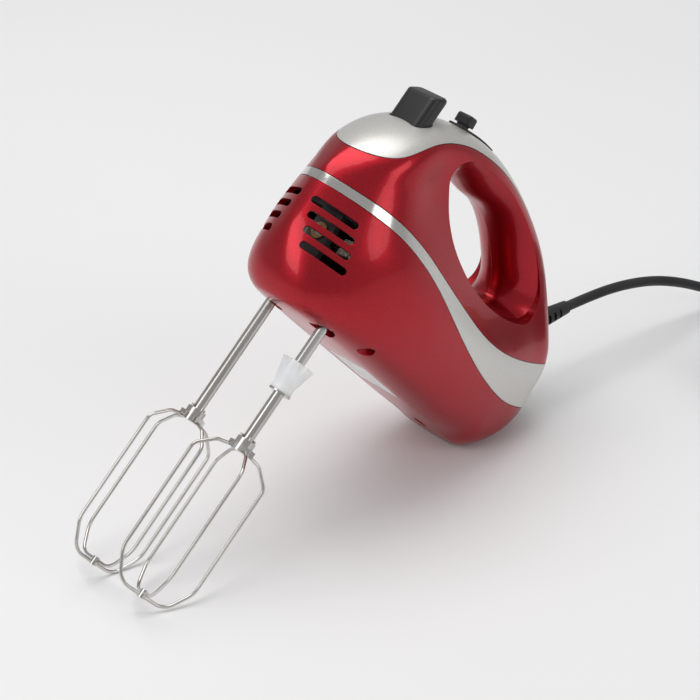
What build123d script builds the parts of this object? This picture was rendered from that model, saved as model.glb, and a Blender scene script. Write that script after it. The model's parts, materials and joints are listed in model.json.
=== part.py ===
from build123d import *

import math
import os

# Hand mixer, built in an upright frame and then tilted into its stored pose.
#
# Upright frame (millimetres): X from the nose to the heel, Y to the right-hand
# side, Z up along the beater axes.  The origin lies midway between the two
# beater sockets, on the flat underside.  main() tips the finished pieces nose
# up, so that the mixer stands on its heel and beater cages on the plane Z = 0.

# ---------------------------------------------------------------- driving sizes
WALL = 2.4  # moulded housing wall
SKIN = 1.2  # outer layer of the wall that the trims are let into
SEAM = 0.3  # visible gap between two mouldings
PARTING_LIFT = 2.0  # parting line of the housings, above the lower edge of the side trim

SPACING = 34.0  # between the two beater axes
STEM_R = 2.6
STEM_TOP = 44.0  # upper end of a seated stem
STEM_END = -63.0  # lower end, inside the hub clip
CAGE_R = 19.8  # wire centreline radius of a beater cage
CAGE_TOP = -72.5
CAGE_CORNER = -127.5
CAGE_FOOT = -140.6
WIRE_R = 0.8
NEAR_PHASE = -31.3  # angle of the first wire of the left cage, from +X
FAR_PHASE = -13.7  # right cage, an exact half pitch out of step

SHAFT_Z = 36.0  # motor and worm axis
WHEEL_TEETH = 26
WORM_STARTS = 2
MODULE = 1.0
WHEEL_R = WHEEL_TEETH * MODULE / 2
WORM_R = SPACING / 2 - WHEEL_R
LEAD = WORM_STARTS * math.pi * MODULE

SELECTOR_TRAVEL = 18.0

TILT = 48.68  # nose-up tilt of the stored pose, degrees

SELECTOR_SLOPE = 6.0  # the knob's track rises this many degrees towards the heel
RELIEF_LENGTH = 26.0
RELIEF_TIP_R = 3.3

CORD_R = 2.5
# Route of the free cord on the tilted mixer, from the guard's tip down to the coil.
CORD_ROUTE = [(157.217, 0, 38.178), (177.5, 0, 37.7), (198, -0.6, 35.5), (218.5, -1.8, 30.8), (238, -3.6, 23),
              (256, -5.8, 13.2), (272, -8, 6), (287, -9.6, 2.9), (300, -10, 2.5)]
COIL_CENTRE = (300.0, -42.5)
COIL_INNER = 20.0
COIL_OUTER = 35.0
COIL_HEIGHT = 10.0
PLUG_ENTRY = (260.0, -76.0, 9.0)  # centre of the plug's cord entry
TAIL_ROUTE = [(300, -75, 2.5), (285, -76, 3), (272, -76.3, 6.3), (260, -76, 9)]
PLUG_SIZE = 48.0
PLUG_THICK = 18.0

# Stations along the body: position, top, bottom, half width.
STATIONS = [
    (-40.0, 59, 32, 3.0),
    (-38.6, 65, 25, 6.5),
    (-35.5, 72.5, 16.5, 12),
    (-30.5, 81.5, 7, 19),
    (-23.5, 90.5, 0, 26),
    (-13, 100.5, -1.5, 32.8),
    (2, 109.3, -1.5, 38),
    (20, 114.7, -1.5, 40),
    (42, 117, -1.5, 39.8),
    (62, 114.8, -1.5, 38.4),
    (82, 109.8, -1.5, 36.6),
    (102, 102.5, -1.5, 34.2),
    (120, 92.5, -1.5, 31.4),
    (131, 83.8, -1.5, 29),
    (138, 77.6, 3.4, 27.3),
    (143, 73, 8.9, 25.6),
    (149, 67, 17, 22.3),
    (154, 60.5, 25.5, 17),
    (157, 54, 33, 10.5),
    (158, 49, 38, 6.5),
]
SHOULDER_TOP = 90.0  # above this the body is as narrow as the grip
SHOULDER_FOOT = 32.0  # below this it has its full width
GRIP_HALF = 19.5
NOSE_HALF = 25.5
CROWN_R = 14.0
CHINE_R = 15.0
SECTION_POINTS = 12

# Side-view curves, as (X, Z) points.
BAND_TOP = [(-44, 56.5), (-33, 57), (-18, 57.5), (-3, 57), (10, 55.6), (30, 51.5), (54, 47.2),
            (79, 44.6), (102, 46), (124, 50.7), (138, 55), (160, 63)]
BAND_BOTTOM = [(-44, 51.7), (-33, 52.5), (-21, 52.5), (-8, 52.2), (5, 50.7), (23, 46.8), (43, 40.8),
               (65, 34.9), (87, 30.7), (109, 28.7), (126, 29.2), (138, 31.5), (160, 37)]
COVER_EDGE = [(-44, 70), (-36, 72.6), (-30, 75.6), (-24.5, 80), (-19, 86), (-13, 92.5), (-5, 98.7),
              (5, 103.8), (16, 107.6), (28, 109.8), (41, 110.6), (57, 109.6), (79, 105),
              (99, 97.8), (114, 90.2), (125, 84.2), (133, 81.4), (142, 80.5), (160, 82)]
HOLE_RIM = [(11.5, 92.5), (13.5, 98.5), (21, 103.6), (33, 105.8), (47, 106.2), (66, 104), (87.5, 97.5),
            (107, 86.5), (115.5, 76), (114, 67.2), (103, 61), (87, 57.8), (67, 57), (49, 60),
            (33.5, 66.8), (23, 76.2), (16, 85)]
HOLE_WAIST = [(19, 91.5), (22.5, 94.2), (30, 95), (39, 94.9), (47.5, 94.2), (60, 94.8), (79, 89.8),
              (95, 80), (103, 72), (104, 66.8), (97, 63.6), (84.5, 61.6), (67.5, 60.8), (51.5, 63.8),
              (38, 70.4), (28, 78.6), (22, 86)]
HOLE_ROUND = 18.5  # half depth over which the opening narrows to its waist


# ---------------------------------------------------------------- body surfaces
def smoothstep(value):
    value = min(1.0, max(0.0, value))
    return value * value * (3 - 2 * value)


def half_width(z, top, bottom, wide, x):
    """Half width of a body section at height z: grip above, barrel below, rounded both ends."""
    height = top - bottom
    crown = min(CROWN_R, height / 2)
    chine = min(CHINE_R, height / 2)
    nose = min(1.0, max(0.0, (10 - x) / 40))
    neck = min(GRIP_HALF + (NOSE_HALF - GRIP_HALF) * nose, 0.8 * wide)
    spread = smoothstep((SHOULDER_TOP - z) / (SHOULDER_TOP - SHOULDER_FOOT))
    tuck = 1 - 0.22 * max(0.0, (SHOULDER_FOOT + 2 - z) / (SHOULDER_FOOT + 2)) ** 1.7
    up = min(1.0, (top - z) / crown)
    down = min(1.0, (z - bottom) / chine)
    crown_factor = math.sqrt(max(0.0, 1 - (1 - up) ** 2))
    chine_factor = max(0.0, 1 - (1 - down) ** 2.6) ** (1 / 2.6)
    return (neck + (wide - neck) * spread) * tuck * crown_factor * chine_factor


def section_wire(station, inset):
    """Closed spline round one body section, moved inwards by inset."""
    x, top, bottom, wide = station
    middle = (STATIONS[0][0] + STATIONS[-1][0]) / 2
    reach = (STATIONS[-1][0] - STATIONS[0][0]) / 2
    placed_x = middle + (x - middle) * (1 - inset / reach)
    half = []
    for i in range(SECTION_POINTS + 1):
        z = bottom + (top - bottom) * (1 + math.cos(math.pi * i / SECTION_POINTS)) / 2
        half.append((half_width(z, top, bottom, wide, x), z))
    centre = (top + bottom) / 2
    tall = (top - bottom) / 2
    squeeze = 1 - inset / tall if tall > 2 * inset else 0.5
    shrunk = []
    for y, z in half:
        shrunk.append((max(0.0, y - inset) if y > 1.6 * inset else y * 0.4, centre + (z - centre) * squeeze))
    right = [Vector(placed_x, y, z) for y, z in shrunk]
    left = [Vector(placed_x, -y, z) for y, z in reversed(shrunk[1:-1])]
    right[0] = Vector(placed_x, 0, shrunk[0][1])
    right[-1] = Vector(placed_x, 0, shrunk[-1][1])
    return Wire([Spline(*right, *left, periodic=True)])


def body_solid(inset):
    wires = [section_wire(station, inset) for station in STATIONS]
    return Solid.make_loft(wires)


def offset_loop(points, distance):
    """Closed outline moved outwards along its own normals."""
    moved = []
    for i, (x, z) in enumerate(points):
        x0, z0 = points[i - 1]
        x1, z1 = points[(i + 1) % len(points)]
        run = math.hypot(x1 - x0, z1 - z0)
        moved.append((x - (z1 - z0) / run * distance, z + (x1 - x0) / run * distance))
    return moved


def hole_outline(y, grow):
    """Closed spline of the finger opening at depth y; widest at the faces, narrowest at y = 0."""
    share = min(1.0, (abs(y) / HOLE_ROUND) ** 2.2)
    outline = []
    for (rim_x, rim_z), (waist_x, waist_z) in zip(HOLE_RIM, HOLE_WAIST):
        outline.append((waist_x + (rim_x - waist_x) * share, waist_z + (rim_z - waist_z) * share))
    return Wire([Spline(*[Vector(x, y, z) for x, z in offset_loop(outline, grow)], periodic=True)])


def hole_solid(grow=0.0):
    """Everything the fingers pass through: a waisted middle and a straight mouth on each side."""
    depths = [-HOLE_ROUND, -16, -12.5, -8, 0, 8, 12.5, 16, HOLE_ROUND]
    middle = Solid.make_loft([hole_outline(y, grow) for y in depths])
    mouth = Face(hole_outline(HOLE_ROUND, grow))
    right = Solid.extrude(mouth, Vector(0, 60, 0))
    left = Solid.extrude(Face(hole_outline(-HOLE_ROUND, grow)), Vector(0, -60, 0))
    return middle + right + left


def prism_above(curve, lift=0.0):
    """Everything above a side-view curve."""
    edge = Spline(*[Vector(x, -70, z + lift) for x, z in curve])
    first, last = edge @ 0, edge @ 1
    top = Polyline(last, Vector(last.X, -70, 220), Vector(first.X, -70, 220), first)
    return Solid.extrude(Face(Wire([edge, *top.edges()])), Vector(0, 140, 0))


# ---------------------------------------------------------------- small helpers
def block(x0, x1, y0, y1, z0, z1):
    """Solid box between two corners."""
    return Pos((x0 + x1) / 2, (y0 + y1) / 2, (z0 + z1) / 2) * Box(x1 - x0, y1 - y0, z1 - z0)


def rod_z(x, y, radius, z0, z1):
    return Pos(x, y, (z0 + z1) / 2) * Cylinder(radius, z1 - z0)


def rod_x(radius, x0, x1, y=0.0, z=SHAFT_Z):
    return Pos((x0 + x1) / 2, y, z) * Rot(0, 90, 0) * Cylinder(radius, x1 - x0)


def rod_y(x, z, radius, y0, y1):
    return Pos(x, (y0 + y1) / 2, z) * Rot(90, 0, 0) * Cylinder(radius, y1 - y0)


def tube_z(x, y, inner, outer, z0, z1):
    return rod_z(x, y, outer, z0, z1) - rod_z(x, y, inner, z0 - 1, z1 + 1)


def tube_x(inner, outer, x0, x1):
    return rod_x(outer, x0, x1) - rod_x(inner, x0 - 1, x1 + 1)


def group(*shapes):
    """Separate solids kept in one node."""
    solids = []
    for shape in shapes:
        solids.extend(shape.solids())
    return Compound(children=solids)


def coil_spring(centre, radius, wire, z0, z1, turns):
    """Open coil spring along Z."""
    pitch = (z1 - z0 - wire) / turns
    path = Helix(pitch, z1 - z0 - wire, radius)
    section = Plane(origin=path @ 0, z_dir=path % 0) * Circle(wire / 2)
    return Pos(centre[0], centre[1], z0 + wire / 2) * sweep(section, path, is_frenet=True)


# ---------------------------------------------------------------- housing
SCREWS_FRONT = [(20, -28.5), (20, 28.5)]
SCREW_REAR = (118, 0)
BOTTOM_PLANE = 0.0
SLOT_LEVELS = [44.0, 37.5, 31.0, 24.5]
SLOT_HEIGHT = 3.6
SLOT_LENGTH = 24.0
SLOT_RAKE = 0.35  # each slot lies this much further forward for every millimetre higher
SLOT_CENTRED = 31.6  # height at which a slot would lie in the middle of its cheek
NOTCH_LEVELS = [25.5, 18.5, 11.5]
CHEEK_ANGLE = 38.0  # plan angle between a nose cheek and the Y axis
EXIT = (146.3, 70.4)  # where the cord leaves the back of the handle, upright X and Z
BUTTON_X = (-15.0, -5.5)
BUTTON_HALF = 9.8
KNOB_X = (18.4, 24.8)
LABEL_X = (46.0, 78.0)
LABEL_HALF = 13.0
LABEL_THICK = 0.3


def above(z):
    return block(-60, 180, -60, 60, z, 160)


def slot_cutter(side, level, forward):
    """One louvre slot with round ends, cut square to a nose cheek, forward along the cheek."""
    cutter = Box(40, SLOT_LENGTH, SLOT_HEIGHT)
    cutter = fillet(cutter.edges().filter_by(Axis.X), SLOT_HEIGHT / 2 - 0.05)
    cutter = Pos(0, -side * forward, 0) * cutter
    lean = CHEEK_ANGLE * side
    return Pos(-30.5, side * 17.2, level) * Rot(0, 0, -lean) * cutter


def louvres():
    cutters = []
    for side in (-1, 1):
        for level in SLOT_LEVELS:
            cutters.append(slot_cutter(side, level, (level - SLOT_CENTRED) * SLOT_RAKE))
    return cutters


def button_outline(grow, z0, z1):
    """Rounded upright block in plan, used for the button and for its opening."""
    x0, x1 = BUTTON_X
    shape = block(x0 - grow, x1 + grow, -BUTTON_HALF - grow, BUTTON_HALF + grow, z0, z1)
    return fillet(shape.edges().filter_by(Axis.Z), 3.6 + grow)


def selector_slot():
    """Opening that the selector's neck slides along."""
    return block(KNOB_X[0] - 0.2, KNOB_X[1] + SELECTOR_TRAVEL, -2.4, 2.4, 100, 125)


def relief_frame():
    """Plane at the cord exit; its normal becomes level once the mixer is tilted."""
    lean = math.radians(TILT)
    normal = Vector(math.cos(lean), 0, math.sin(lean))
    return Plane(origin=(EXIT[0], 0, EXIT[1]), x_dir=(0, 1, 0), z_dir=normal)


def along_exit(shape):
    return relief_frame().location * shape


def label_block(grow, z0, z1):
    """The rating plate, or the shallow pocket that it lies in."""
    x0, x1 = LABEL_X
    shape = block(x0 - grow, x1 + grow, -LABEL_HALF - grow, LABEL_HALF + grow, z0, z1)
    return fillet(shape.edges().filter_by(Axis.Z), 2.0 + grow)


def housings():
    """The shell, split into lower housing, two upper halves, top cover and two side trims."""
    hole = hole_solid()
    outer = (body_solid(0) & above(BOTTOM_PLANE)) - hole
    skin = body_solid(SKIN) & above(BOTTOM_PLANE + SKIN)
    inner = (body_solid(WALL) & above(BOTTOM_PLANE + WALL)) - hole_solid(WALL)
    shell = outer - inner

    over_middle = prism_above(BAND_BOTTOM, PARTING_LIFT)
    groove = prism_above(BAND_BOTTOM, -SEAM / 2) - prism_above(BAND_TOP, SEAM / 2) - skin
    band = prism_above(BAND_BOTTOM, SEAM / 2) - prism_above(BAND_TOP, -SEAM / 2)

    lower = shell - over_middle - groove
    upper = (shell & over_middle) - groove
    lip = skin - prism_above(COVER_EDGE, 3.0)
    upper = upper - (prism_above(COVER_EDGE, -SEAM / 2) - lip)
    cover = (shell & prism_above(COVER_EDGE, SEAM / 2)) - (skin - prism_above(COVER_EDGE, 3.2))
    trim = (outer - skin) & band

    for cutter in louvres():
        lower = lower - cutter
    for y in (-SPACING / 2, SPACING / 2):
        lower = lower - rod_z(0, y, 6.4, -5, 8)
    for level in NOTCH_LEVELS:
        notch = block(150 - level * 0.05, 175, -60, 60, level - 1.5, level + 1.5)
        lower = lower - (notch & block(100, 180, -60, -18, 0, 40)) - (notch & block(100, 180, 18, 60, 0, 40))

    lower = lower - label_block(0.15, -1, 0.05 + LABEL_THICK)
    for x, y in SCREWS_FRONT + [SCREW_REAR]:
        seat = 34 if (x, y) != SCREW_REAR else 33
        boss = rod_z(x, y, 4.6, 1, seat) & outer
        lower = lower + boss
        lower = lower - rod_z(x, y, 3.6, -5, 9) - rod_z(x, y, 1.75, 0, 60)
    for x, y in SCREWS_FRONT:
        boss = rod_z(x, y, 4.2, 53, 68) & outer & skin
        upper = upper + boss - rod_z(x, y, 1.3, 50, 57.5)
    x, y = SCREW_REAR
    web = block(97, 119, -1.5, 1.5, 52, 64) & outer
    upper = upper + (rod_z(x, y, 4.2, 33.4, 66) & outer) + web - rod_z(x, y, 1.3, 30, 52)
    upper = upper - button_outline(0.5, 70, 130)

    cover = cover - button_outline(0.5, 70, 130)
    cover = cover - selector_slot()
    upper = upper - along_exit(Cylinder(5.3, 40))
    return lower, upper, cover, trim, outer


def split_halves(shape):
    """Left (-Y) and right (+Y) mouldings with a hairline gap on the middle plane."""
    half_gap = 0.06
    left = shape & block(-60, 180, -60, -half_gap, -10, 160)
    right = shape & block(-60, 180, half_gap, 60, -10, 160)
    return left, right


def eject_button():
    """Hollow push button: an upright paddle across the nose, with a slanted, rounded top."""
    body = button_outline(0, 84, 130)
    lid = Polyline((-20, -20, 110.5), (0, -20, 121.5), (0, -20, 150), (-20, -20, 150), close=True)
    body = body - Solid.extrude(Face(Wire(lid.edges())), Vector(0, 40, 0))
    body = fillet(body.edges().filter_by(lambda e: e.center().Z > 108), 1.6)
    hollow = button_outline(-1.8, 80, 108)
    boss = block(-14, -6.5, -4.2, 4.2, 100, 109)
    return body - (hollow - boss)


def ejector_yoke():
    """Post under the button, crossbar, and two feet that stand on the beater stems."""
    yoke = block(-12.6, -7.9, -3, 3, 68, 100) + block(-14, 3.5, -4.5, 4.5, 68, 72)
    yoke = yoke + block(-3.5, 3.5, -19.3, 19.3, 68, 72)
    for y in (-SPACING / 2, SPACING / 2):
        yoke = yoke + rod_z(0, y, 2.3, STEM_TOP + 0.1, 69)
    return yoke


def gearbox_frame():
    """Moulded frame: lower plate, end walls for the worm shaft, columns and feet."""
    frame = block(-17, 27.5, -23.5, 23.5, 20, 23.5)
    frame = frame + block(-19, -15.5, -6.5, 6.5, 20, 47) + block(24, 27.5, -9, 9, 20, 47)
    for side in (-1, 1):
        frame = frame + rod_z(19.5, side * 20.5, 3, 23, 47) - rod_z(19.5, side * 20.5, 1.3, 36, 50)
    for y in (-SPACING / 2, SPACING / 2):
        frame = frame - rod_z(0, y, 6.0, 10, 30)
    frame = frame - rod_x(4.0, -30, -10) - rod_x(4.6, 20, 32)
    for x, y in ((-10, 0), (21, -12), (21, 12)):
        frame = frame + rod_z(x, y, 3, WALL, 20.5)
    return frame


def gearbox_cover():
    cover = block(-17, 27.5, -23.5, 23.5, 47, 50)
    for y in (-SPACING / 2, SPACING / 2):
        cover = cover - rod_z(0, y, 6.0, 40, 60)
    cover = cover + tube_z(-10, 0, 1.0, 3.0, 50, 53)
    for side in (-1, 1):
        cover = cover - rod_z(19.5, side * 20.5, 1.3, 40, 60)
    return cover


def screw(x, y, seat, length, upward=True):
    """Pan-head self-tapping screw along Z: head below its seat, or above it."""
    way = 1 if upward else -1
    head = rod_z(x, y, 3.0, min(seat, seat - way * 2.2), max(seat, seat - way * 2.2))
    head = head - block(x - 2.2, x + 2.2, y - 0.4, y + 0.4, seat - way * 2.2 - 0.9, seat - way * 2.2 + 0.9)
    head = head - block(x - 0.4, x + 0.4, y - 2.2, y + 2.2, seat - way * 2.2 - 0.9, seat - way * 2.2 + 0.9)
    tip = seat + way * length
    return head + rod_z(x, y, 1.25, min(seat, tip), max(seat, tip))


def worm_shaft():
    """Motor shaft with the two-start worm cut on its front end."""
    reach = 10.5
    outer, root = WORM_R + 0.85, WORM_R - 1.15
    shaft = rod_x(2.5, -19.5, 110.5) + rod_x(root + 0.05, -13, 13)
    path = Helix(LEAD, 2 * reach, WORM_R, center=(0, 0, 0), direction=(0, 0, 1))
    at_root, at_tip = 0.98, 0.27
    profile = Polyline(
        (root, 0, -at_root),
        (outer, 0, -at_tip),
        (outer, 0, at_tip),
        (root, 0, at_root),
        close=True,
    )
    thread = sweep(Face(Wire(profile.edges())), path, is_frenet=True)
    worm = None
    start_turn = -360.0 * reach / LEAD
    for start in range(WORM_STARTS):
        turned = Rot(0, 0, start * 360.0 / WORM_STARTS + start_turn) * Pos(0, 0, -reach) * thread
        worm = turned if worm is None else worm + turned
    laid = Pos(0, 0, SHAFT_Z) * Rot(0, 90, 0) * Rot(0, 0, 90) * worm
    return shaft + laid


def worm_wheel(side):
    """Helical-toothed wheel; a gap faces the worm at rest."""
    tip, root, half_face = WHEEL_R + 0.85, WHEEL_R - 1.15, 3.6
    lead_angle = math.degrees(math.atan(LEAD / (2 * math.pi * WORM_R)))
    wheel = rod_z(0, 0, root + 0.05, -half_face, half_face)
    base, top = 0.93, 0.27
    tooth_face = Polyline(
        (root - 0.6, -base, -half_face - 1.5),
        (tip, -top, -half_face - 1.5),
        (tip, top, -half_face - 1.5),
        (root - 0.6, base, -half_face - 1.5),
        close=True,
    )
    tooth = Solid.extrude(Face(Wire(tooth_face.edges())), Vector(0, 0, 2 * half_face + 3))
    tooth = Rot(-lead_angle, 0, 0) * tooth
    tooth = tooth & rod_z(0, 0, tip, -half_face, half_face)
    toward_worm = -90 if side > 0 else 90
    teeth = []
    for i in range(WHEEL_TEETH):
        angle = toward_worm + (i + 0.5) * 360.0 / WHEEL_TEETH
        teeth.append(Rot(0, 0, angle) * tooth)
    wheel = wheel + teeth
    wheel = wheel + rod_z(0, 0, 7.5, -half_face - 1.2, half_face + 1.2)
    for web in (-1, 1):
        ring = rod_z(0, 0, 10.6, 0, 10) - rod_z(0, 0, 7.5, -1, 11)
        wheel = wheel - Pos(0, 0, 2.0 if web > 0 else -12.0) * ring
    wheel = wheel - rod_z(0, 0, 4.2, -20, 20)
    return Pos(0, side * SPACING / 2, SHAFT_Z) * wheel


def beater_loop(phase, foot, spread=0.0):
    """One bent wire: up one side of the cage, across the foot and down the other side."""
    inner = STEM_R + WIRE_R
    half = [(inner, STEM_END + 6), (inner, -63.4), (11.8, -65.3), (CAGE_R, CAGE_TOP), (CAGE_R, CAGE_CORNER),
            (12.0, foot)]
    points = half + [(-r, z) for r, z in reversed(half)]
    path = FilletPolyline(*[(r, 0, z) for r, z in points], radius=[1.6, 6, 5, 12, 9, 9, 12, 5, 6, 1.6])
    section = Plane(origin=path @ 0, z_dir=path % 0) * Circle(WIRE_R)
    return Rot(0, 0, phase) * sweep(section, path)


def beater(side, phase):
    """Stem, hub clip, two crossed wire loops and their rivet, centred on the beater axis."""
    outer_loop = beater_loop(phase, CAGE_FOOT)
    inner_loop = beater_loop(phase + 90, CAGE_FOOT + 2 * WIRE_R + 0.02)
    stem = rod_z(0, 0, STEM_R, STEM_END, STEM_TOP)
    groove = tube_z(0, 0, STEM_R - 0.5, STEM_R + 1, STEM_TOP - 9, STEM_TOP - 7.4)
    stem = chamfer((stem - groove).edges().group_by(Axis.Z)[-1], 0.8)
    clip = rod_z(0, 0, STEM_R + 2.0, STEM_END - 1.6, STEM_END + 4.6)
    for quarter in range(4):
        tab = Rot(0, 0, phase + 90 * quarter) * block(3, 6.2, -2.1, 2.1, STEM_END - 1.6, STEM_END + 1.6)
        clip = clip + tab
    clip = clip - rod_z(0, 0, STEM_R, STEM_END, STEM_TOP) - outer_loop - inner_loop
    rivet = rod_z(0, 0, 1.7, CAGE_FOOT - 1.1, CAGE_FOOT + 2.9) - outer_loop - inner_loop
    shift = Pos(0, side * SPACING / 2, 0)
    return [shift * piece for piece in (stem, clip, outer_loop, inner_loop, rivet)]


def collar(side):
    """Fluted plastic collar and its steel washer on the left stem."""
    z_low, z_high = -32.6, -17.8
    flare = Pos(0, 0, z_high - 5.5) * Cone(5.2, 7.9, 11)
    body = rod_z(0, 0, 5.2, z_low, z_high - 2) + flare
    for i in range(6):
        flute = Rot(0, 0, 60 * i) * rod_z(8.9, 0, 2.3, z_high - 9, z_high + 1)
        body = body - flute
    body = body - rod_z(0, 0, STEM_R, z_low - 1, z_high + 1)
    washer = tube_z(0, 0, STEM_R, 5.4, z_low - 0.9, z_low)
    shift = Pos(0, side * SPACING / 2, 0)
    return shift * body, shift * washer


def cooling_fan():
    fan = rod_x(5.5, 30.5, 40) + rod_x(21.5, 38.8, 40)
    for i in range(11):
        blade = Pos(35, 0, SHAFT_Z) * Rot(360.0 * i / 11, 0, 0) * Pos(0, 0, 13) * Rot(0, 0, 24) * Box(8.6, 1.0, 16)
        fan = fan + blade
    fan = fan & rod_x(21.5, 30, 40)
    return fan - rod_x(2.5, 20, 50)


def stator():
    core = block(48, 80, -23, 23, SHAFT_Z - 18.6, SHAFT_Z + 18.6)
    core = fillet(core.edges().filter_by(Axis.X), 7)
    core = core - rod_x(13.7, 40, 90)
    for side in (-1, 1):
        for up in (-1, 1):
            z = SHAFT_Z + up * 14
            core = core - block(40, 90, side * 15.25 - 3.25, side * 15.25 + 3.25, z - 2.5, z + 2.5)
    return core


def field_coils():
    coils = []
    for up in (-1, 1):
        z = SHAFT_Z + up * 14
        ring = block(42.4, 85.6, -18.3, 18.3, z - 2.3, z + 2.3) - block(47.7, 80.3, -12.2, 12.2, z - 5, z + 5)
        ring = fillet(ring.edges().filter_by(Axis.Z).sort_by_distance((64, 0, z))[-4:], 3.0)
        coils.append(ring)
    return group(*coils)


def rotor_core():
    core = rod_x(13.0, 48, 80)
    for i in range(12):
        core = core - Pos(64, 0, SHAFT_Z) * Rot(30 * i, 0, 0) * Pos(0, 0, 11.9) * Box(40, 1.8, 4)
    return core - rod_x(2.5, 40, 90)


def rotor_windings():
    ends = []
    for x0, x1 in ((43.2, 48), (80, 84.8)):
        ends.append(tube_x(2.5, 10.4, x0, x1))
    return group(*ends)


def commutator():
    drum = rod_x(8.0, 88, 98.5) - rod_x(2.5, 80, 110)
    for i in range(24):
        drum = drum - Pos(93.5, 0, SHAFT_Z) * Rot(15 * i, 0, 0) * Pos(0, 0, 8) * Box(9, 0.4, 1.6)
    return drum


def brush_parts():
    holders, brushes, springs = [], [], []
    for side in (-1, 1):
        cage = block(89.5, 97, 9.2, 22, SHAFT_Z - 4.2, SHAFT_Z + 4.2) - block(91, 95.5, 5, 20.5, SHAFT_Z - 3, SHAFT_Z + 3)
        flange = block(97, 103.5, 12, 20, SHAFT_Z - 4.2, SHAFT_Z + 4.2)
        carbon = block(91.1, 95.4, 8.05, 15, SHAFT_Z - 2.9, SHAFT_Z + 2.9)
        spring = coil_spring((0, 0), 1.5, 0.45, 15.0, 20.5, 5)
        spring = Pos(93.25, 0, SHAFT_Z) * Rot(-90, 0, 0) * spring
        turn = Rot(0, 0, 0) if side > 0 else Pos(0, 0, 2 * SHAFT_Z) * Rot(180, 0, 0)
        holders.append(turn * (cage + flange))
        brushes.append(turn * carbon)
        springs.append(turn * spring)
    return group(*holders), group(*brushes), group(*springs)


def rear_bracket():
    bracket = block(103.5, 107, -22, 22, SHAFT_Z - 12, SHAFT_Z + 12)
    bracket = fillet(bracket.edges().filter_by(Axis.X), 5)
    bracket = bracket + rod_x(7, 103.5, 112)
    for side in (-1, 1):
        bracket = bracket + rod_x(2.2, 80, 104, side * 19.6, SHAFT_Z + 9.4)
        bracket = bracket + rod_x(2.2, 80, 104, side * 19.6, SHAFT_Z - 9.4)
    return bracket - rod_x(5.0, 100, 115)


def lead(points, radius, bend):
    path = FilletPolyline(*points, radius=bend)
    section = Plane(origin=path @ 0, z_dir=path % 0) * Circle(radius)
    return sweep(section, path)


def speed_parts():
    """Knob, its inner slider, the black track strip on the cover and the switch below."""
    middle = (KNOB_X[0] + KNOB_X[1]) / 2
    knob = block(*KNOB_X, -4.6, 4.6, 0, 4.8)
    knob = fillet(knob.edges().filter_by(Axis.Z), 1.8)
    knob = fillet(knob.faces().sort_by(Axis.Z)[-1].edges(), 1.2)
    for i in range(3):
        x = middle + 1.9 * (i - 1)
        knob = knob - block(x - 0.4, x + 0.4, -10, 10, 4.1, 8)
    knob = Pos(middle, 0, 117.0) * Rot(0, -SELECTOR_SLOPE, 0) * Pos(-middle, 0, 0) * knob
    neck = block(middle - 2.4, middle + 2.4, -1.9, 1.9, 108.5, 118.2)
    slider = block(middle - 6, middle + 6, -4.8, 4.8, 107, 109.2) + neck
    knob = knob - neck
    track = body_solid(-0.9) & block(KNOB_X[0] - 2, KNOB_X[1] + SELECTOR_TRAVEL + 2, -3.8, 3.8, 100, 125)
    track = track - body_solid(-0.02) - selector_slot()
    switch = block(12.5, 40, -8.2, 8.2, 99.6, 106.4)
    switch = fillet(switch.edges().filter_by(Axis.Z), 1.5)
    return knob, slider, track, switch


def strain_relief():
    """Tapered cord guard; an inner flange holds it behind the wall."""
    outline = [(0, -9), (6.8, -9), (6.8, -6.6), (5.0, -6.6), (5.0, 1.0), (5.9, 1.0), (5.9, 2.6), (5.0, 3.4),
               (RELIEF_TIP_R, RELIEF_LENGTH), (0, RELIEF_LENGTH)]
    profile = Polyline(*[(radius, 0, z) for radius, z in outline], close=True)
    guard = revolve(Face(Wire(profile.edges())), Axis.Z)
    for i in range(4):
        z = 7.0 + 4.0 * i
        ring = rod_z(0, 0, 9, z - 2, z + 2) - rod_z(0, 0, 3.0, z - 3, z + 3)
        guard = guard - (Pos(0, 0, z) * Box(20, 5, 1.6) & ring)
    return along_exit(guard)


# ---------------------------------------------------------------- cord, in the tilted frame
def cord_tube(points):
    """Straight runs joined by tangent arcs, each as large as its two runs allow."""
    radii = []
    for before, here, after in zip(points, points[1:], points[2:]):
        incoming = Vector(*here) - Vector(*before)
        outgoing = Vector(*after) - Vector(*here)
        turn = math.radians(incoming.get_angle(outgoing))
        radii.append(0.45 * min(incoming.length, outgoing.length) / math.tan(turn / 2))
    path = FilletPolyline(*points, radius=radii)
    section = Plane(origin=path @ 0, z_dir=path % 0) * Circle(CORD_R)
    tube = sweep(section, path)
    print("cord radii", [round(r, 1) for r in radii])
    print("cord length", round(path.length, 1), "volume", round(tube.volume, 1),
          "section x length", round(math.pi * CORD_R ** 2 * path.length, 1))
    return tube


def cord_coil():
    x, y = COIL_CENTRE
    ring = rod_z(x, y, COIL_OUTER, 0, COIL_HEIGHT) - rod_z(x, y, COIL_INNER, -1, COIL_HEIGHT + 1)
    return fillet(ring.edges(), 2.2)


def coil_tie():
    """Strap closed round the bundle of turns."""
    x, y = COIL_CENTRE
    middle = (COIL_INNER + COIL_OUTER) / 2
    half = (COIL_OUTER - COIL_INNER) / 2
    band = Box(2 * half + 2.4, 6, COIL_HEIGHT + 1.2)
    band = fillet(band.edges().filter_by(Axis.Y), 2.6)
    hole = Box(2 * half, 10, COIL_HEIGHT)
    hole = fillet(hole.edges().filter_by(Axis.Y), 2.2)
    strap = Pos(middle, 0, COIL_HEIGHT / 2 + 0.6) * (band - Pos(0, 0, -0.6) * hole)
    turned = Pos(x, y, 0) * Rot(0, 0, -35) * strap
    return turned & block(x - 80, x + 80, y - 80, y + 80, 0, 40)


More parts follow.
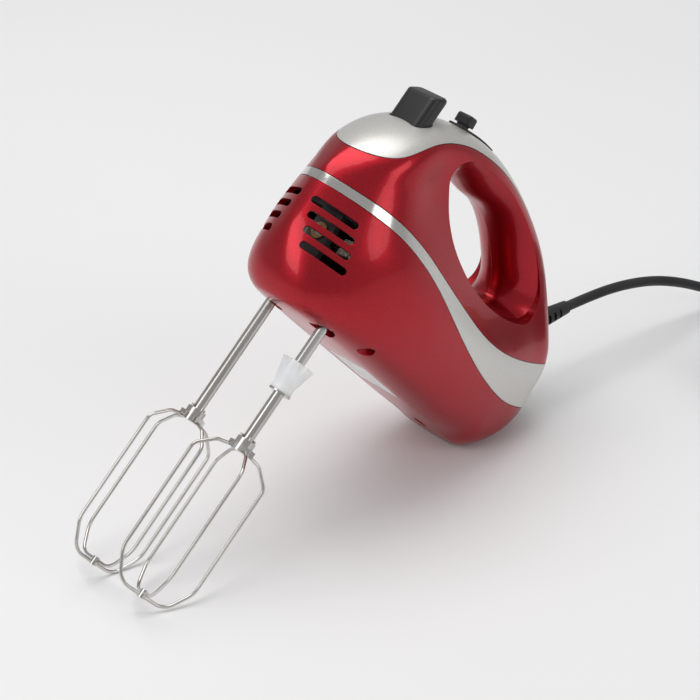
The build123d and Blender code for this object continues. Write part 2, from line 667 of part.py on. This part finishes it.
def plug():
    """Three-pin plug lying on its back, pins up, its cord entry facing the coil."""
    x, y, z = PLUG_ENTRY
    body = block(x - PLUG_SIZE - 9, x - 9, y - PLUG_SIZE / 2, y + PLUG_SIZE / 2, 0, PLUG_THICK)
    body = fillet(body.edges().filter_by(Axis.Z), 11)
    body = fillet(body.faces().sort_by(Axis.Z)[0].edges(), 2.5)
    nose = Pos(x - 5, y, z) * Rot(0, -90, 0) * Cone(3.6, 5.4, 10)
    body = body + nose
    face = PLUG_THICK
    centre_x = x - 9 - PLUG_SIZE / 2
    pins = []
    for dx, dy, lx, ly, tall in ((-11, 0, 8, 4, 22.7), (11.2, -11.1, 6.35, 4, 17.7), (11.2, 11.1, 6.35, 4, 17.7)):
        pin_x, pin_y = centre_x + dx, y + dy
        pin = block(pin_x - lx / 2, pin_x + lx / 2, pin_y - ly / 2, pin_y + ly / 2, face, face + tall)
        pins.append(chamfer(pin.faces().sort_by(Axis.Z)[-1].edges(), 0.9))
    return body, group(*pins)


# ---------------------------------------------------------------- assembly
def upright_parts():
    parts = {}
    lower, upper, cover, trim, outer = housings()
    for x0 in (50, 75):
        lower = lower + (block(x0, x0 + 3, -18, 18, 1, SHAFT_Z - 18.6) & outer)
    parts["lower_housing"] = lower
    parts["upper_housing_left"], parts["upper_housing_right"] = split_halves(upper)
    parts["top_cover"] = cover
    parts["side_trim_left"], parts["side_trim_right"] = split_halves(trim)
    parts["blank_rating_plate"] = label_block(0.0, 0.05, 0.05 + LABEL_THICK)
    parts["housing_screws"] = group(*[screw(x, y, 9.0, 48) for x, y in SCREWS_FRONT], screw(*SCREW_REAR, 9.0, 42))
    parts["strain_relief"] = strain_relief()

    parts["gearbox_frame"] = gearbox_frame()
    parts["gearbox_cover"] = gearbox_cover()
    parts["gearbox_screws"] = group(*[screw(19.5, side * 20.5, 50, 11, upward=False) for side in (-1, 1)])
    bushes = []
    for y in (-SPACING / 2, SPACING / 2):
        bushes.append(tube_z(0, y, 4.25, 6.0, 18.5, 25))
        bushes.append(tube_z(0, y, 4.25, 6.0, 45, 51.5))
    parts["spindle_bushes"] = group(*bushes)
    parts["front_shaft_bushes"] = group(tube_x(2.55, 4.0, -20, -14.5), tube_x(2.55, 4.6, 22.5, 28))
    parts["rear_shaft_bush"] = tube_x(2.55, 5.0, 104.5, 111)
    parts["rear_motor_bracket"] = rear_bracket()
    parts["stator_core"] = stator()
    parts["field_coils"] = field_coils()
    parts["brush_holders"], parts["carbon_brushes"], parts["brush_springs"] = brush_parts()

    parts["worm_shaft"] = worm_shaft()
    parts["rotor_core"] = rotor_core()
    parts["rotor_windings"] = rotor_windings()
    parts["commutator"] = commutator()
    parts["cooling_fan"] = cooling_fan()

    for name, side, phase in (("left", -1, NEAR_PHASE), ("right", 1, FAR_PHASE)):
        parts[name + "_worm_wheel"] = worm_wheel(side)
        parts[name + "_spindle"] = tube_z(0, side * SPACING / 2, STEM_R + 0.05, 4.2, 2.5, 56)
        stem, clip, outer_loop, inner_loop, rivet = beater(side, phase)
        parts[name + "_beater_stem"] = stem
        parts[name + "_hub_clip"] = clip
        parts[name + "_outer_loop"] = outer_loop
        parts[name + "_inner_loop"] = inner_loop
        parts[name + "_foot_rivet"] = rivet
    parts["left_stem_collar"], parts["left_collar_washer"] = collar(-1)

    parts["eject_button"] = eject_button()
    parts["ejector_yoke"] = ejector_yoke()
    parts["eject_spring"] = coil_spring((-10, 0), 4.2, 0.9, 50.1, 67.9, 6)
    knob, slider, track, switch = speed_parts()
    parts["speed_knob"] = knob
    parts["speed_slider"] = slider
    parts["speed_track"] = track
    parts["speed_switch"] = switch
    parts["suppressor_capacitor"] = fillet(block(58, 74, -4.5, 4.5, 98.5, 106.5).edges().filter_by(Axis.X), 2)
    supply = []
    for y in (-7, 7):
        supply.append(lead([(137.5, y * 0.6, 63), (126, y, 79.5), (108, y, 91.5), (84, y, 100.5), (40.1, y, 103)],
                           1.1, [9, 12, 14]))
    parts["supply_leads"] = group(*supply)
    motor = []
    for side in (-1, 1):
        motor.append(lead([(12.2, side * 6.5, 103), (8.5, side * 7, 100.5), (8.5, side * 12, 86),
                           (11, side * 19, 66), (36, side * 26.5, 52), (84, side * 27, 43),
                           (93.2, side * 23.15, 38)], 1.1, [2, 8, 10, 12, 7]))
    parts["motor_leads"] = group(*motor)
    return parts


def main():
    os.makedirs("parts", exist_ok=True)
    tilt = Rot(0, TILT, 0)
    tilted = {name: tilt * shape for name, shape in upright_parts().items()}
    boxes = {name: shape.bounding_box() for name, shape in tilted.items() if name != "strain_relief"}
    low = min(box.min.Z for box in boxes.values())
    mid_x = (min(box.min.X for box in boxes.values()) + max(box.max.X for box in boxes.values())) / 2
    print("shift", -mid_x, -low)
    tip = tilt * relief_frame().location * Pos(0, 0, RELIEF_LENGTH)
    print("guard tip", tip.position.X - mid_x, tip.position.Z - low)
    shift = Pos(-mid_x, 0, -low)
    nodes = {name: shift * shape for name, shape in tilted.items()}
    coil = cord_coil()
    nodes["cord_coil"] = coil
    nodes["cord_run"] = cord_tube(CORD_ROUTE)
    nodes["cord_tail"] = cord_tube(TAIL_ROUTE)
    nodes["coil_tie"] = coil_tie()
    nodes["plug_body"], nodes["plug_pins"] = plug()
    for name, shape in nodes.items():
        shape.label = name
        export_step(shape, f"parts/{name}.step")
    print(len(nodes), "nodes")


if __name__ == "__main__":
    main()
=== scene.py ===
import json
import math

import bmesh
import bpy
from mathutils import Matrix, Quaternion, Vector


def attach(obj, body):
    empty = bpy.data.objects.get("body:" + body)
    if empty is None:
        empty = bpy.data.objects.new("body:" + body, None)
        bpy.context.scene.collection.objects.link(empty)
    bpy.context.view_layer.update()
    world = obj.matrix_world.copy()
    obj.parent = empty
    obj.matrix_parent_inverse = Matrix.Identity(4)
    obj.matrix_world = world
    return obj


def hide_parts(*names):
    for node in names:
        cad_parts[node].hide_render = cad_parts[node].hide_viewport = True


# Looks of the hand mixer, in metres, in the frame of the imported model.
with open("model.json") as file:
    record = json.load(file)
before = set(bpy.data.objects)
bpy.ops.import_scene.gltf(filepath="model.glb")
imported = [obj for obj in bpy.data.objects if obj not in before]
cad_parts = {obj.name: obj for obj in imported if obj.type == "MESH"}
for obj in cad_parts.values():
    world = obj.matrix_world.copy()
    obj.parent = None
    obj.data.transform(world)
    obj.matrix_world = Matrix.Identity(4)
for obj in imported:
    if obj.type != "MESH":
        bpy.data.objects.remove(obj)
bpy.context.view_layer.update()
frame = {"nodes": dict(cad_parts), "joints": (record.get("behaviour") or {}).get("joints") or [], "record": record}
RECORD = frame["record"]
JOINTS = {joint["name"]: joint for joint in frame["joints"]}
ALONG = Vector(JOINTS["rotor_spin"]["axis"])  # from the nose towards the heel
TILT = math.atan2(-ALONG.z, ALONG.x)  # nose-up tilt of the body, in radians
MM = 0.001


# ---------------------------------------------------------------- camera
AIM = Vector((0.0141, -0.0005, 0.0713))
VIEW_DISTANCE = 1.4
VIEW_AZIMUTH = math.radians(-42.355)
VIEW_ELEVATION = math.radians(30.923)
VIEW_ROLL = math.radians(0.184)
LENS = 157.7  # focal length on a sensor 36 mm wide
SENSOR_WIDTH = 36.0
CLIP_END = 30.0


def make_camera():
    lens = bpy.data.cameras.new("camera")
    lens.lens = LENS
    lens.sensor_width = SENSOR_WIDTH
    lens.clip_end = CLIP_END
    camera = bpy.data.objects.new("camera", lens)
    bpy.context.scene.collection.objects.link(camera)
    flat = math.cos(VIEW_ELEVATION)
    back = Vector((math.sin(VIEW_AZIMUTH) * flat, -math.cos(VIEW_AZIMUTH) * flat, math.sin(VIEW_ELEVATION)))
    camera.location = AIM + back * VIEW_DISTANCE
    camera.rotation_mode = "QUATERNION"
    camera.rotation_quaternion = (-back).to_track_quat("-Z", "Y") @ Quaternion((0, 0, 1), VIEW_ROLL)
    bpy.context.scene.camera = camera


# ---------------------------------------------------------------- cord
CORD_R = 2.5 * MM
CORD_ROUTE = [(157.217, 0, 38.178), (177.5, 0, 37.7), (198, -0.6, 35.5), (218.5, -1.8, 30.8), (238, -3.6, 23),
              (256, -5.8, 13.2), (272, -8, 6), (287, -9.6, 2.9), (300, -10, 2.5)]
COIL_CENTRE = (300.0, -42.5)
TAIL_ROUTE = [(286, -78.6, 3.6), (273, -77, 5.8), (260, -76, 9)]
POINTS_A_TURN = 16
COIL_TURNS = 4.5
OUTER_TURN = 32.5
INNER_TURN = 22.5
LOW_LAYER = 2.5
HIGH_LAYER = 7.6


def between(value, start, end, low, high):
    """Straight change from low to high while value goes from start to end."""
    share = min(1.0, max(0.0, (value - start) / (end - start)))
    return low + (high - low) * share


def coil_points():
    """Two layers of turns: inwards on the floor, up, and outwards on top of the first layer."""
    widen = 1 / math.cos(math.pi / POINTS_A_TURN)  # the spline cuts inside its control points
    points = []
    for i in range(1, int(COIL_TURNS * POINTS_A_TURN) + 1):
        turns = i / POINTS_A_TURN
        radius = between(turns, 0, 2, OUTER_TURN, INNER_TURN)
        radius = max(radius, between(turns, 2.4, 4.375, INNER_TURN, OUTER_TURN)) if turns > 2 else radius
        radius += between(turns, 4.375, 4.5, 0, 4.6)
        height = between(turns, 2.0, 2.375, LOW_LAYER, HIGH_LAYER) - between(turns, 4.4, 4.5, 0, 1.8)
        angle = math.pi / 2 - 2 * math.pi * turns
        points.append((COIL_CENTRE[0] + radius * widen * math.cos(angle),
                       COIL_CENTRE[1] + radius * widen * math.sin(angle), height))
    return points


def make_cord(material):
    points = CORD_ROUTE + coil_points() + TAIL_ROUTE
    curve = bpy.data.curves.new("mains_cord", "CURVE")
    curve.dimensions = "3D"
    spline = curve.splines.new("NURBS")
    spline.points.add(len(points) - 1)
    for point, place in zip(spline.points, points):
        point.co = (*[value * MM for value in place], 1.0)
    spline.order_u = 3
    spline.use_endpoint_u = True
    spline.resolution_u = 8
    curve.bevel_depth = CORD_R
    curve.bevel_resolution = 6
    curve.use_fill_caps = True
    cord = bpy.data.objects.new("mains_cord", curve)
    bpy.context.scene.collection.objects.link(cord)
    curve.materials.append(material)
    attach(cord, "housing")
    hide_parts("cord_run", "cord_coil", "cord_tail")


# ---------------------------------------------------------------- material helpers
class Surface:
    """A Principled material with coordinates that follow the body's own axes."""

    def __init__(self, name, colour, roughness, metallic=0.0):
        self.material = bpy.data.materials.new(name)
        self.material.use_nodes = True
        self.tree = self.material.node_tree
        self.shader = self.tree.nodes["Principled BSDF"]
        self.set("Base Color", (*colour, 1.0))
        self.set("Roughness", roughness)
        self.set("Metallic", metallic)
        self.material.diffuse_color = (*colour, 1.0)
        place = self.node("ShaderNodeTexCoord")
        self.place = self.node("ShaderNodeMapping")
        self.place.inputs["Rotation"].default_value = (0, -TILT, 0)
        self.link(place.outputs["Object"], self.place.inputs["Vector"])
        self.normal = None

    def node(self, kind):
        return self.tree.nodes.new(kind)

    def link(self, source, target):
        self.tree.links.new(source, target)

    def set(self, socket, value):
        self.shader.inputs[socket].default_value = value

    def stretched(self, scale):
        """Coordinates scaled by a different number along each body axis."""
        mapping = self.node("ShaderNodeMapping")
        mapping.inputs["Scale"].default_value = scale
        self.link(self.place.outputs["Vector"], mapping.inputs["Vector"])
        return mapping.outputs["Vector"]

    def noise(self, scale, detail=2.0, stretch=None):
        texture = self.node("ShaderNodeTexNoise")
        texture.inputs["Scale"].default_value = scale
        texture.inputs["Detail"].default_value = detail
        source = self.stretched(stretch) if stretch else self.place.outputs["Vector"]
        self.link(source, texture.inputs["Vector"])
        return texture.outputs["Fac"]

    def cells(self, scale):
        texture = self.node("ShaderNodeTexVoronoi")
        texture.inputs["Scale"].default_value = scale
        self.link(self.place.outputs["Vector"], texture.inputs["Vector"])
        return texture.outputs["Distance"]

    def bands(self, axis, scale, distortion=0.0):
        texture = self.node("ShaderNodeTexWave")
        texture.bands_direction = axis
        texture.inputs["Scale"].default_value = scale
        texture.inputs["Distortion"].default_value = distortion
        self.link(self.place.outputs["Vector"], texture.inputs["Vector"])
        return texture.outputs["Fac"]

    def spread(self, source, low, high, start=0.3, end=0.7):
        """A number from low to high as source goes from start to end."""
        ramp = self.node("ShaderNodeMapRange")
        for socket, value in (("From Min", start), ("From Max", end), ("To Min", low), ("To Max", high)):
            ramp.inputs[socket].default_value = value
        self.link(source, ramp.inputs["Value"])
        return ramp.outputs["Result"]

    def tint(self, source, dark, light, start=0.35, end=0.65):
        """Base colour from dark to light as source goes from start to end."""
        ramp = self.node("ShaderNodeValToRGB")
        ramp.color_ramp.elements[0].position = start
        ramp.color_ramp.elements[0].color = (*dark, 1.0)
        ramp.color_ramp.elements[1].position = end
        ramp.color_ramp.elements[1].color = (*light, 1.0)
        self.link(source, ramp.inputs["Fac"])
        self.link(ramp.outputs["Color"], self.shader.inputs["Base Color"])

    def vary_roughness(self, source, low, high):
        self.link(self.spread(source, low, high), self.shader.inputs["Roughness"])

    def bump(self, source, depth, strength=1.0):
        """Relief of depth metres, added to any relief already there."""
        relief = self.node("ShaderNodeBump")
        relief.inputs["Strength"].default_value = strength
        relief.inputs["Distance"].default_value = depth
        self.link(source, relief.inputs["Height"])
        if self.normal is not None:
            self.link(self.normal, relief.inputs["Normal"])
        self.normal = relief.outputs["Normal"]
        self.link(self.normal, self.shader.inputs["Normal"])

    def soften_edges(self, radius):
        """Moulded edges catch the light over a small radius."""
        edge = self.node("ShaderNodeBevel")
        edge.samples = 4
        edge.inputs["Radius"].default_value = radius
        self.normal = edge.outputs["Normal"]
        self.link(self.normal, self.shader.inputs["Normal"])


def tone(colour, factor):
    return tuple(min(1.0, value * factor) for value in colour)


# ---------------------------------------------------------------- materials
def red_lacquer():
    """Metallic lacquer: fine flake under a clear coat with faint orange peel."""
    surface = Surface("red_lacquer", (0.38, 0.005, 0.014), 0.32, 0.85)
    surface.soften_edges(0.5 * MM)
    surface.tint(surface.noise(2600, 1.0), (0.31, 0.003, 0.010), (0.46, 0.008, 0.020), 0.3, 0.7)
    surface.vary_roughness(surface.noise(14, 3.0), 0.28, 0.36)
    surface.bump(surface.noise(420, 2.0), 0.012 * MM, 0.5)
    surface.set("Coat Weight", 0.35)
    surface.set("Coat Roughness", 0.08)
    return surface.material


def satin_silver():
    surface = Surface("satin_silver", (0.60, 0.585, 0.555), 0.36, 0.55)
    surface.soften_edges(0.4 * MM)
    surface.tint(surface.noise(2400, 1.0), (0.54, 0.527, 0.497), (0.66, 0.645, 0.615), 0.3, 0.7)
    surface.vary_roughness(surface.noise(18, 3.0), 0.32, 0.42)
    surface.bump(surface.noise(700, 2.0), 0.010 * MM, 0.5)
    surface.set("Coat Weight", 0.25)
    surface.set("Coat Roughness", 0.2)
    return surface.material


def bright_trim():
    """Mirror-bright at the nose, satin silver towards the heel."""
    surface = Surface("bright_trim", (0.66, 0.65, 0.63), 0.3, 0.9)
    surface.soften_edges(0.25 * MM)
    split = surface.node("ShaderNodeSeparateXYZ")
    surface.link(surface.place.outputs["Vector"], split.inputs["Vector"])
    mid = Vector(JOINTS["rotor_spin"]["pos_m"]).dot(ALONG)
    front, rear = mid - 0.01, mid + 0.03
    for socket, at_nose, at_heel in (("Metallic", 1.0, 0.5), ("Roughness", 0.14, 0.38)):
        change = surface.spread(split.outputs["X"], at_nose, at_heel, front, rear)
        surface.link(change, surface.shader.inputs[socket])
    surface.tint(surface.noise(2400, 1.0), (0.60, 0.588, 0.565), (0.70, 0.69, 0.665), 0.3, 0.7)
    surface.bump(surface.noise(500, 2.0), 0.008 * MM, 0.5)
    return surface.material


def moulded(name, colour, roughness, grain=1400, depth=0.02, edge=0.4):
    """Moulded plastic with a fine grain and slightly worn sheen."""
    surface = Surface(name, colour, roughness)
    surface.soften_edges(edge * MM)
    surface.tint(surface.noise(35, 3.0), tone(colour, 0.82), tone(colour, 1.22))
    surface.vary_roughness(surface.noise(60, 3.0), roughness - 0.05, roughness + 0.07)
    surface.bump(surface.cells(grain), depth * MM, 0.5)
    return surface


def black_satin():
    return moulded("black_satin", (0.008, 0.008, 0.009), 0.34, 1500, 0.02, 0.5).material


def grey_plastic():
    return moulded("grey_plastic", (0.12, 0.12, 0.13), 0.5, 1200, 0.03).material


def natural_nylon():
    return moulded("natural_nylon", (0.66, 0.63, 0.54), 0.42, 900, 0.02, 0.2).material


def white_nylon():
    surface = moulded("white_nylon", (0.84, 0.86, 0.88), 0.38, 1100, 0.01, 0.5)
    surface.set("Subsurface Weight", 0.55)
    surface.set("Subsurface Radius", (0.004, 0.004, 0.0045))
    surface.set("Subsurface Scale", 1.0)
    return surface.material


def black_rubber():
    surface = Surface("black_rubber", (0.010, 0.010, 0.011), 0.5)
    surface.tint(surface.noise(50, 3.0), (0.007, 0.007, 0.008), (0.016, 0.016, 0.017))
    surface.vary_roughness(surface.noise(90, 3.0), 0.42, 0.58)
    surface.bump(surface.noise(1600, 3.0), 0.03 * MM, 0.6)
    return surface.material


def plated_steel():
    """Bright plated wire with faint drawing marks along the beaters."""
    surface = Surface("plated_steel", (0.56, 0.545, 0.52), 0.2, 1.0)
    surface.tint(surface.noise(60, 3.0, (1, 1, 0.25)), (0.46, 0.445, 0.42), (0.64, 0.63, 0.61))
    surface.vary_roughness(surface.noise(400, 3.0, (1, 1, 0.05)), 0.14, 0.27)
    surface.bump(surface.noise(3000, 2.0, (1, 1, 0.03)), 0.004 * MM, 0.5)
    return surface.material


def brushed_steel():
    surface = Surface("brushed_steel", (0.50, 0.495, 0.48), 0.3, 1.0)
    surface.tint(surface.noise(90, 3.0), (0.42, 0.415, 0.40), (0.56, 0.555, 0.545))
    surface.vary_roughness(surface.noise(900, 3.0, (0.05, 1, 1)), 0.22, 0.4)
    surface.bump(surface.noise(2500, 2.0, (0.04, 1, 1)), 0.008 * MM, 0.6)
    return surface.material


def laminations():
    """Stacked sheets, half a millimetre each, along the motor."""
    surface = Surface("laminations", (0.20, 0.20, 0.21), 0.5, 0.9)
    stack = surface.bands("X", 320)
    surface.tint(stack, (0.10, 0.10, 0.105), (0.26, 0.26, 0.27), 0.2, 0.8)
    surface.vary_roughness(surface.noise(200, 3.0), 0.4, 0.6)
    surface.bump(stack, 0.05 * MM)
    return surface.material


def copper_winding():
    """Varnished wire laid side by side."""
    surface = Surface("copper_winding", (0.48, 0.19, 0.07), 0.28, 0.9)
    strands = surface.bands("Z", 420, 1.5)
    surface.tint(strands, (0.22, 0.07, 0.025), (0.55, 0.23, 0.09), 0.2, 0.8)
    surface.vary_roughness(surface.noise(120, 3.0), 0.2, 0.4)
    surface.bump(strands, 0.12 * MM)
    surface.set("Coat Weight", 0.6)
    return surface.material


def metal(name, colour, roughness, grain, depth):
    surface = Surface(name, colour, roughness, 1.0)
    surface.tint(surface.noise(70, 4.0), tone(colour, 0.75), tone(colour, 1.15))
    surface.vary_roughness(surface.noise(300, 3.0), roughness - 0.06, roughness + 0.1)
    surface.bump(surface.noise(grain, 3.0), depth * MM, 0.6)
    return surface.material


def carbon():
    surface = Surface("carbon", (0.03, 0.03, 0.032), 0.55)
    surface.tint(surface.noise(900, 4.0), (0.018, 0.018, 0.019), (0.06, 0.06, 0.062))
    surface.vary_roughness(surface.noise(200, 3.0), 0.45, 0.7)
    surface.bump(surface.noise(1800, 4.0), 0.03 * MM)
    return surface.material


def blank_label():
    """Matte foil label with nothing on it."""
    surface = Surface("blank_label", (0.74, 0.745, 0.75), 0.42, 0.15)
    surface.tint(surface.noise(240, 4.0), (0.70, 0.705, 0.71), (0.78, 0.785, 0.79))
    surface.vary_roughness(surface.noise(90, 3.0), 0.36, 0.5)
    surface.bump(surface.noise(900, 3.0), 0.01 * MM, 0.5)
    return surface.material


MATERIALS = {
    "red_metallic": red_lacquer(),
    "silver_satin": satin_silver(),
    "black_satin": black_satin(),
    "black_rubber": black_rubber(),
    "white_nylon": white_nylon(),
    "natural_nylon": natural_nylon(),
    "steel_plated": plated_steel(),
    "steel_brushed": brushed_steel(),
    "lamination_steel": laminations(),
    "copper_enamel": copper_winding(),
    "copper_bar": metal("copper_bar", (0.62, 0.30, 0.15), 0.25, 1500, 0.01),
    "bronze": metal("bronze", (0.50, 0.33, 0.15), 0.35, 1200, 0.02),
    "carbon": carbon(),
    "label_foil": blank_label(),
    "grey_plastic": grey_plastic(),
}
TRIM = bright_trim()


# ---------------------------------------------------------------- pieces
SMOOTH_BELOW = math.radians(32)  # faces that meet at less than this are one smooth surface
WELD = 0.002 * MM
FINISHED = {
    "lower_housing": "housing_shell_lower",
    "upper_housing_left": "housing_shell_upper_left",
    "upper_housing_right": "housing_shell_upper_right",
    "top_cover": "cover_shell",
    "side_trim_left": "trim_band_left",
    "side_trim_right": "trim_band_right",
    "eject_button": "eject_paddle",
    "speed_knob": "speed_thumb_knob",
    "speed_track": "speed_track_strip",
    "left_stem_collar": "fluted_collar",
    "strain_relief": "cord_guard",
    "plug_body": "plug_moulding",
}  # CAD nodes that are shown as smooth copies, and the copies' names


def body_of(node):
    for body, members in RECORD["behaviour"]["bodies"].items():
        if node in members:
            return body
    return "root"


def slot_of(node):
    for part in RECORD["subparts"]:
        if part["node"] == node:
            return part["material_slot"]
    return None


def finished_piece(node, name):
    """The node's shape with its facets welded and shaded smooth up to its real edges."""
    mesh = bpy.data.meshes.new(name)
    shape = bmesh.new()
    shape.from_mesh(frame["nodes"][node].data)
    bmesh.ops.remove_doubles(shape, verts=shape.verts, dist=WELD)
    bmesh.ops.dissolve_degenerate(shape, edges=shape.edges, dist=WELD)
    for face in shape.faces:
        face.smooth = True
    for edge in shape.edges:
        edge.smooth = len(edge.link_faces) == 2 and edge.calc_face_angle(math.pi) < SMOOTH_BELOW
    shape.to_mesh(mesh)
    shape.free()
    piece = bpy.data.objects.new(name, mesh)
    bpy.context.scene.collection.objects.link(piece)
    mesh.materials.append(TRIM if node.startswith("side_trim") else MATERIALS[slot_of(node)])
    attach(piece, body_of(node))
    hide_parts(node)


def paint(node):
    """A CAD node that stays as it is gets its slot's material."""
    mesh = frame["nodes"][node].data
    mesh.materials.clear()
    mesh.materials.append(MATERIALS[slot_of(node)])


# ---------------------------------------------------------------- stage and light
FLOOR_HALF = 8.0
WORLD_STRENGTH = 0.42
# name, place, size and power of each softbox; all of them point at the camera's aim
SOFTBOXES = [
    ("overhead", (0.1, 0.35, 1.7), (1.6, 1.2), 17.5),
    ("left_side", (-1.5, 0.2, 1.1), (0.9, 1.2), 9),
    ("right_front", (0.5, -1.7, 0.9), (1.0, 0.8), 5),
]


def make_floor():
    surface = Surface("pale_floor", (0.80, 0.80, 0.80), 0.6)
    surface.tint(surface.noise(3, 2.0), (0.795, 0.795, 0.797), (0.81, 0.81, 0.812))
    mesh = bpy.data.meshes.new("floor")
    shape = bmesh.new()
    bmesh.ops.create_grid(shape, x_segments=1, y_segments=1, size=FLOOR_HALF)
    shape.to_mesh(mesh)
    shape.free()
    floor = bpy.data.objects.new("floor", mesh)
    bpy.context.scene.collection.objects.link(floor)
    mesh.materials.append(surface.material)


def softbox(name, place, size, power):
    lamp = bpy.data.lights.new(name, "AREA")
    lamp.shape = "RECTANGLE"
    lamp.size, lamp.size_y = size
    lamp.energy = power
    light = bpy.data.objects.new(name, lamp)
    bpy.context.scene.collection.objects.link(light)
    light.location = place
    light.rotation_mode = "QUATERNION"
    light.rotation_quaternion = (AIM - Vector(place)).to_track_quat("-Z", "Y")


def make_light():
    world = bpy.data.worlds.new("studio")
    world.use_nodes = True
    world.node_tree.nodes["Background"].inputs["Color"].default_value = (1.0, 1.0, 1.0, 1.0)
    world.node_tree.nodes["Background"].inputs["Strength"].default_value = WORLD_STRENGTH
    bpy.context.scene.world = world
    bpy.context.scene.view_settings.view_transform = "Standard"
    for name, place, size, power in SOFTBOXES:
        softbox(name, place, size, power)


make_camera()
for node_name in frame["nodes"]:
    if node_name in FINISHED:
        finished_piece(node_name, FINISHED[node_name])
    else:
        paint(node_name)
make_cord(MATERIALS["black_rubber"])
make_floor()
make_light()
